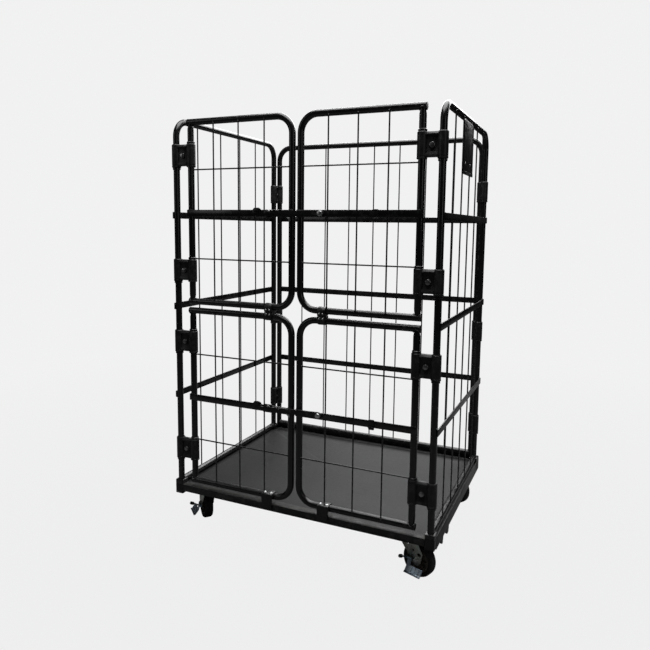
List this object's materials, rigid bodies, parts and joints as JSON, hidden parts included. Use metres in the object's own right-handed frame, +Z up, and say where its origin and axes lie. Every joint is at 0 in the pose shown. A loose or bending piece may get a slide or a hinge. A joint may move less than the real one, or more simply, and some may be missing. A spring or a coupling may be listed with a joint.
{
  "type": "roll cage container",
  "caption": "Wheeled steel roll cage with wire mesh sides, split double-hinged front doors, swing-over latch bars and swivel casters.",
  "frame": {"origin": "on the floor, under the middle of the whole object", "axes": "+Z up, +X towards the right-hand side panel as seen from the doors, -Y towards the doors"},
  "size_m": [1.111, 0.8514, 1.6796],
  "materials": {
    "tube_paint": "gloss black powder coat",
    "base_paint": "semi-gloss black powder coat",
    "deck_coating": "matt charcoal coating, slightly mottled",
    "clamp_plastic": "moulded black, satin",
    "holder_paint": "satin black",
    "latch_paint": "satin black",
    "zinc": "greenish grey zinc plate",
    "bright_zinc": "bright zinc plate",
    "blue_zinc": "blue-tinted zinc plate",
    "tyre_rubber": "matt black",
    "hub_plastic": "brownish grey, matt"
  },
  "bodies": {
    "root": {"base_frame": "base_paint", "deck_panel": "deck_coating", "left_side_panel": "tube_paint", "right_side_panel": "tube_paint", "back_panel": "tube_paint", "card_holder": "holder_paint", "rear_clamp_left_bottom": "clamp_plastic", "rear_clamp_left_middle": "clamp_plastic", "rear_clamp_left_top": "clamp_plastic", "rear_clamp_right_bottom": "clamp_plastic", "rear_clamp_right_middle": "clamp_plastic", "rear_clamp_right_top": "clamp_plastic", "caster_plate_front_left": "zinc", "caster_plate_front_right": "zinc", "caster_plate_rear_left": "zinc", "caster_plate_rear_right": "zinc"},
    "hinge_link_lower_left": {"hinge_clamp_lower_left_bottom": "clamp_plastic", "hinge_clamp_lower_left_top": "clamp_plastic"},
    "door_leaf_lower_left": {"door_lower_left": "tube_paint", "spacer_block_lower_left": "clamp_plastic", "latch_catch_lower": "latch_paint", "sill_tab_left": "clamp_plastic"},
    "hinge_link_lower_right": {"hinge_clamp_lower_right_bottom": "clamp_plastic", "hinge_clamp_lower_right_top": "clamp_plastic"},
    "door_leaf_lower_right": {"door_lower_right": "tube_paint", "spacer_block_lower_right": "clamp_plastic", "latch_pivot_lower": "bright_zinc", "latch_park_hook_lower": "latch_paint", "sill_tab_right": "clamp_plastic"},
    "latch_lower": {"latch_bar_lower": "latch_paint"},
    "hinge_link_upper_left": {"hinge_clamp_upper_left_bottom": "clamp_plastic", "hinge_clamp_upper_left_top": "clamp_plastic"},
    "door_leaf_upper_left": {"door_upper_left": "tube_paint", "spacer_block_upper_left": "clamp_plastic", "latch_catch_upper": "latch_paint"},
    "hinge_link_upper_right": {"hinge_clamp_upper_right_bottom": "clamp_plastic", "hinge_clamp_upper_right_top": "clamp_plastic"},
    "door_leaf_upper_right": {"door_upper_right": "tube_paint", "spacer_block_upper_right": "clamp_plastic", "latch_pivot_upper": "bright_zinc", "latch_park_hook_upper": "latch_paint"},
    "latch_upper": {"latch_bar_upper": "latch_paint"},
    "swivel_front_left": {"caster_fork_front_left": "zinc", "caster_axle_front_left": "bright_zinc"},
    "wheel_front_left": {"caster_tyre_front_left": "tyre_rubber", "caster_hub_front_left": "hub_plastic"},
    "brake_front_left": {"brake_pedal_front_left": "blue_zinc"},
    "swivel_front_right": {"caster_fork_front_right": "zinc", "caster_axle_front_right": "bright_zinc"},
    "wheel_front_right": {"caster_tyre_front_right": "tyre_rubber", "caster_hub_front_right": "hub_plastic"},
    "brake_front_right": {"brake_pedal_front_right": "blue_zinc"},
    "swivel_rear_left": {"caster_fork_rear_left": "zinc", "caster_axle_rear_left": "bright_zinc"},
    "wheel_rear_left": {"caster_tyre_rear_left": "tyre_rubber", "caster_hub_rear_left": "hub_plastic"},
    "swivel_rear_right": {"caster_fork_rear_right": "zinc", "caster_axle_rear_right": "bright_zinc"},
    "wheel_rear_right": {"caster_tyre_rear_right": "tyre_rubber", "caster_hub_rear_right": "hub_plastic"}
  },
  "joints": [
    {"name": "post_hinge_lower_left", "type": "hinge", "parent": "root", "child": "hinge_link_lower_left", "pos_m": [-0.5375, -0.39175, 0.5595], "axis": [0, 0, 1], "range_deg": [-180, 0]},
    {"name": "door_hinge_lower_left", "type": "hinge", "parent": "hinge_link_lower_left", "child": "door_leaf_lower_left", "pos_m": [-0.467, -0.39175, 0.5595], "axis": [0, 0, 1], "range_deg": [-90, 0]},
    {"name": "post_hinge_lower_right", "type": "hinge", "parent": "root", "child": "hinge_link_lower_right", "pos_m": [0.5375, -0.39175, 0.5595], "axis": [0, 0, 1], "range_deg": [0, 180]},
    {"name": "door_hinge_lower_right", "type": "hinge", "parent": "hinge_link_lower_right", "child": "door_leaf_lower_right", "pos_m": [0.467, -0.39175, 0.5595], "axis": [0, 0, 1], "range_deg": [0, 90]},
    {"name": "latch_turn_lower", "type": "hinge", "parent": "door_leaf_lower_right", "child": "latch_lower", "pos_m": [0.107, -0.41775, 0.5645], "axis": [0, 1, 0], "range_deg": [0, 180]},
    {"name": "post_hinge_upper_left", "type": "hinge", "parent": "root", "child": "hinge_link_upper_left", "pos_m": [-0.5375, -0.39175, 1.3035], "axis": [0, 0, 1], "range_deg": [-180, 0]},
    {"name": "door_hinge_upper_left", "type": "hinge", "parent": "hinge_link_upper_left", "child": "door_leaf_upper_left", "pos_m": [-0.467, -0.39175, 1.3035], "axis": [0, 0, 1], "range_deg": [-90, 0]},
    {"name": "post_hinge_upper_right", "type": "hinge", "parent": "root", "child": "hinge_link_upper_right", "pos_m": [0.5375, -0.39175, 1.3035], "axis": [0, 0, 1], "range_deg": [0, 180]},
    {"name": "door_hinge_upper_right", "type": "hinge", "parent": "hinge_link_upper_right", "child": "door_leaf_upper_right", "pos_m": [0.467, -0.39175, 1.3035], "axis": [0, 0, 1], "range_deg": [0, 90]},
    {"name": "latch_turn_upper", "type": "hinge", "parent": "door_leaf_upper_right", "child": "latch_upper", "pos_m": [0.107, -0.41775, 1.3035], "axis": [0, 1, 0], "range_deg": [0, 180]},
    {"name": "swivel_turn_front_left", "type": "hinge", "parent": "root", "child": "swivel_front_left", "pos_m": [-0.449, -0.3302, 0.1475], "axis": [0, 0, 1], "continuous": true},
    {"name": "wheel_spin_front_left", "type": "hinge", "parent": "swivel_front_left", "child": "wheel_front_left", "pos_m": [-0.47873, -0.30349, 0.0625], "axis": [-0.6691, -0.7431, 0], "continuous": true},
    {"name": "brake_press_front_left", "type": "hinge", "parent": "swivel_front_left", "child": "brake_front_left", "pos_m": [-0.48082, -0.34466, 0.068], "axis": [0.7431, -0.6691, 0], "range_deg": [0, 15], "stiffness_Nm_per_rad": 0.6, "springref_deg": -2.86},
    {"name": "swivel_turn_front_right", "type": "hinge", "parent": "root", "child": "swivel_front_right", "pos_m": [0.449, -0.3302, 0.1475], "axis": [0, 0, 1], "continuous": true},
    {"name": "wheel_spin_front_right", "type": "hinge", "parent": "swivel_front_right", "child": "wheel_front_right", "pos_m": [0.48682, -0.34327, 0.0625], "axis": [0.3256, 0.9455, 0], "continuous": true},
    {"name": "brake_press_front_right", "type": "hinge", "parent": "swivel_front_right", "child": "brake_front_right", "pos_m": [0.45182, -0.36506, 0.068], "axis": [0.9455, -0.3256, 0], "range_deg": [0, 15], "stiffness_Nm_per_rad": 0.6, "springref_deg": -2.86},
    {"name": "swivel_turn_rear_left", "type": "hinge", "parent": "root", "child": "swivel_rear_left", "pos_m": [-0.449, 0.3217, 0.1475], "axis": [0, 0, 1], "continuous": true},
    {"name": "wheel_spin_rear_left", "type": "hinge", "parent": "swivel_rear_left", "child": "wheel_rear_left", "pos_m": [-0.48659, 0.30807, 0.0625], "axis": [0.342, -0.9397, 0], "continuous": true},
    {"name": "swivel_turn_rear_right", "type": "hinge", "parent": "root", "child": "swivel_rear_right", "pos_m": [0.449, 0.3217, 0.1475], "axis": [0, 0, 1], "continuous": true},
    {"name": "wheel_spin_rear_right", "type": "hinge", "parent": "swivel_rear_right", "child": "wheel_rear_right", "pos_m": [0.48364, 0.30175, 0.0625], "axis": [0.5, 0.866, 0], "continuous": true}
  ],
  "couplings": [
    {"joint": "post_hinge_lower_left", "follows": "post_hinge_lower_right", "ratio": -1},
    {"joint": "door_hinge_lower_left", "follows": "door_hinge_lower_right", "ratio": -1},
    {"joint": "post_hinge_upper_left", "follows": "post_hinge_upper_right", "ratio": -1},
    {"joint": "door_hinge_upper_left", "follows": "door_hinge_upper_right", "ratio": -1}
  ]
}
